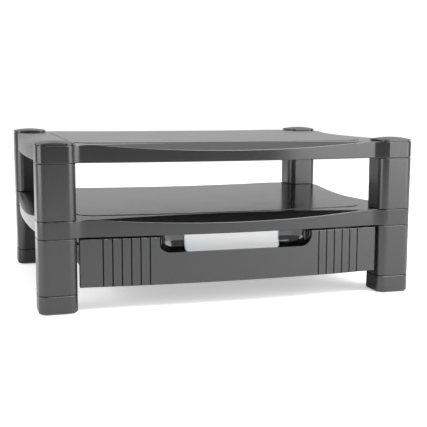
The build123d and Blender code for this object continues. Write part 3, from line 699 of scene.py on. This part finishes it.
# %% Screw tree
SCREW_SIZES = {
    "Head radius": 0.0036,
    "Head height": 0.0024,
    "Shank radius": 0.0019,
    "Length": 0.008,
    "Pitch": 0.0013,
    "Thread depth": 0.00045,
    "Cross length": 0.004,
    "Cross width": 0.0009,
    "Cross depth": 0.0013,
    "Tilt": 0.0,
}
ROWS = 73
COLUMNS = 33
HEAD_SHARE = 0.25  # share of the rows spent on the head
UNDERSIDE_SHARE = 0.30  # where the underside of the head reaches the shank
TIP_SHARE = 0.94  # where the tip starts to close
SHALLOW_BAR = 0.85  # depth of the second bar of the cross, next to the first
SEAM_WELD = 0.000004  # joins the grid's seam and its poles


def screw_tree():
    """Grow pan-head screws: head below the point, shank along +Z before it is tilted."""
    tree, given = new_tree("pan_head_screw", SCREW_SIZES)
    grid = add_node(
        tree,
        "GeometryNodeMeshGrid",
        {},
        {"Size X": 1.0, "Size Y": 1.0, "Vertices X": COLUMNS, "Vertices Y": ROWS},
    )
    across, along, flat = add_node(tree, "GeometryNodeInputPosition").axes()
    turn = (across + 0.5) * math.tau
    row = along + 0.5
    # a quarter ellipse over the head, then in along its underside
    crown = (row / HEAD_SHARE).clamped()
    bulge = crown.math("SINE", crown * (math.pi / 2))
    rise = crown.math("COSINE", crown * (math.pi / 2))
    inward = ((row - HEAD_SHARE) / (UNDERSIDE_SHARE - HEAD_SHARE)).clamped()
    down = ((row - UNDERSIDE_SHARE) / (1.0 - UNDERSIDE_SHARE)).clamped()
    height = down * given["Length"]
    # the thread: a zigzag that climbs one pitch in each turn
    climb = (height / given["Pitch"] - turn / math.tau) * 2.0
    zigzag = climb.math("PINGPONG", climb, 1.0)
    started = (down * 8.0).clamped()
    root = given["Shank radius"] - given["Thread depth"] * (1.0 - zigzag) * started
    point = ((row - TIP_SHARE) / (1.0 - TIP_SHARE)).clamped()
    shank = root * (1.0 - point)
    head = given["Head radius"] * bulge
    radius = head + inward * (shank - head)
    level = height - rise * given["Head height"]
    place = combine(
        tree, radius * turn.math("COSINE", turn), radius * turn.math("SINE", turn), level + flat
    )
    bent = add_node(tree, "GeometryNodeSetPosition", {}, {"Geometry": grid, "Position": place})
    closed = add_node(
        tree, "GeometryNodeMergeByDistance", {}, {"Geometry": bent, "Distance": SEAM_WELD}
    )
    # two bars, cut from the crown; their floors differ, so that the cut leaves no doubled face
    cuts = []
    for long_x, depth_share in ((True, 1.0), (False, SHALLOW_BAR)):
        x = given["Cross length"] if long_x else given["Cross width"]
        y = given["Cross width"] if long_x else given["Cross length"]
        block = {"Size": combine(tree, x, y, given["Cross depth"] * (2.0 * depth_share))}
        bar = add_node(tree, "GeometryNodeMeshCube", {}, block)
        at_crown = combine(tree, 0.0, 0.0, -given["Head height"])
        cuts.append(
            add_node(tree, "GeometryNodeTransform", {}, {"Geometry": bar, "Translation": at_crown})
        )
    crossed = add_node(
        tree, "GeometryNodeMeshBoolean", {"operation": "DIFFERENCE"}, {"Mesh 1": closed}
    )
    for cut in cuts:
        tree.links.new(cut.socket, crossed.socket.node.inputs["Mesh 2"])
    repeat_on_points(tree, given, crossed, combine(tree, given["Tilt"]))
    return tree


pan_head_screw = screw_tree()
print(f"screw grid of {COLUMNS} by {ROWS} points")

# %% [markdown]
# ## Placing the screws
#
# Six screws hold the rails up under the lower platform, and four hold the drawer front to the
# tray. Their places come from the boxes of the CAD nodes: a head's edge touches the box, so its
# middle lies one head radius inside it. The rail screws ride on the stand and the front screws
# on the drawer, so each group is its own mesh.

# %% Place the screws
HEAD_RADIUS = SCREW_SIZES["Head radius"]
HEAD_HEIGHT = SCREW_SIZES["Head height"]


def seat_screws(name, node, body, places, tilt):
    """Grow a group of screws, replace its CAD node and let it ride on a body."""
    sizes = dict(SCREW_SIZES, Tilt=tilt)
    screws = grow(name, pan_head_screw, places, sizes, zinc)
    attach(screws, body)
    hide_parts(node)


low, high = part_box("rail_screws")
rail_x = high.x - HEAD_RADIUS
rail_y = high.y - HEAD_RADIUS
rail_z = low.z + HEAD_HEIGHT
rail_seats = [(side * rail_x, row * rail_y, rail_z) for side in (-1, 1) for row in (-1, 0, 1)]
seat_screws("rail_pan_screws", "rail_screws", "stand", rail_seats, 0.0)

low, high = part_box("front_screws")
front_x = high.x - HEAD_RADIUS
front_y = high.y - HEAD_HEIGHT
front_heights = (low.z + HEAD_RADIUS, high.z - HEAD_RADIUS)
front_seats = [(side * front_x, front_y, z) for side in (-1, 1) for z in front_heights]
seat_screws("front_pan_screws", "front_screws", "drawer", front_seats, math.pi / 2)

# %% [markdown]
# ## Floor
#
# A catalogue picture stands its object on a white sweep lit until it nearly burns out, so that
# only the soft shadow under the object is left of it. The floor is plain pale paint.

# %% Floor
FLOOR_SIDE = 12.0
FLOOR_DROP = 0.0002  # keeps the floor from sharing a plane with the pads
PAPER = 0.88  # how much light the floor throws back
FLOOR_GLOW = 0.45  # lifts the paper to white for the lens, not for what the stand mirrors

half = FLOOR_SIDE / 2
floor_mesh = bpy.data.meshes.new("floor")
corners = [(-half, -half, 0.0), (half, -half, 0.0), (half, half, 0.0), (-half, half, 0.0)]
floor_mesh.from_pydata(corners, [], [(0, 1, 2, 3)])
floor = bpy.data.objects.new("floor", floor_mesh)
floor.location.z = cad_low.z - FLOOR_DROP
bpy.context.scene.collection.objects.link(floor)
floor_finish, _, floor_surface, _ = new_finish("floor")
floor_surface.inputs["Base Color"].default_value = grey(PAPER)
floor_surface.inputs["Roughness"].default_value = 0.7
floor_tree = floor_finish.node_tree
to_lens = add_node(floor_tree, "ShaderNodeLightPath", output="Is Camera Ray")
glow = mix_colour(floor_tree, to_lens, grey(0.0), grey(FLOOR_GLOW))
put(floor_tree, floor_surface.inputs["Emission Color"], glow)
floor_surface.inputs["Emission Strength"].default_value = 1.0
floor_mesh.materials.append(floor_finish)
print(f"floor {FLOOR_SIDE:.0f} m square at z = {floor.location.z:.4f}")

# %% [markdown]
# ## Studio light
#
# Black plastic shows little of its own colour, so what reads as its shape is what it mirrors.
# The surround is an even white. Two tall softboxes stand left and right: the right one lights
# the faces of the right-hand posts, the left one draws the bright line down each left edge, and
# between them a plainer zone round the camera leaves the middle of the front darker. A third
# hangs overhead and catches the rounded upper edges.
#
# A softbox is easier to judge by how bright it looks than by its watts, so `softbox` takes a
# brightness relative to the surround, and works out the power from that and its area.

# %% Light
SURROUND = 0.64  # brightness of the room that the plastic mirrors
BACKDROP = 1.05  # brightness of the white paper behind, as the camera sees it

world = bpy.data.worlds.new("studio")
bpy.context.scene.world = world
world.use_nodes = True
studio = world.node_tree
background = studio.nodes["Background"]
background.inputs["Color"].default_value = grey(1.0)
seen = add_node(studio, "ShaderNodeLightPath", output="Is Camera Ray")
put(studio, background.inputs["Strength"], seen * (BACKDROP - SURROUND) + SURROUND)


def softbox(name, bearing, distance, height, width, tall, brightness):
    """A rectangular light at a bearing from the front (degrees, towards +X), facing the stand."""
    turn = math.radians(bearing)
    place = Vector((math.sin(turn) * distance, -math.cos(turn) * distance, height))
    data = bpy.data.lights.new(name, "AREA")
    data.shape = "RECTANGLE"
    data.size = width
    data.size_y = tall
    data.energy = brightness * math.pi * width * tall
    lamp = bpy.data.objects.new(name, data)
    lamp.location = place
    aim = Vector((0.0, 0.0, 0.1))
    lamp.rotation_euler = (aim - place).to_track_quat("-Z", "Y").to_euler()
    lamp.visible_camera = False
    bpy.context.scene.collection.objects.link(lamp)
    print(f"{name}: {data.energy:.0f} W")


softbox("right_softbox", 45.0, 1.5, 0.45, 1.15, 0.95, 4.8)
softbox("left_softbox", -74.0, 1.2, 0.45, 0.9, 0.95, 4.5)
softbox("overhead_softbox", 42.0, 0.75, 1.3, 1.0, 1.0, 13.0)
bpy.context.scene.view_settings.view_transform = "Standard"
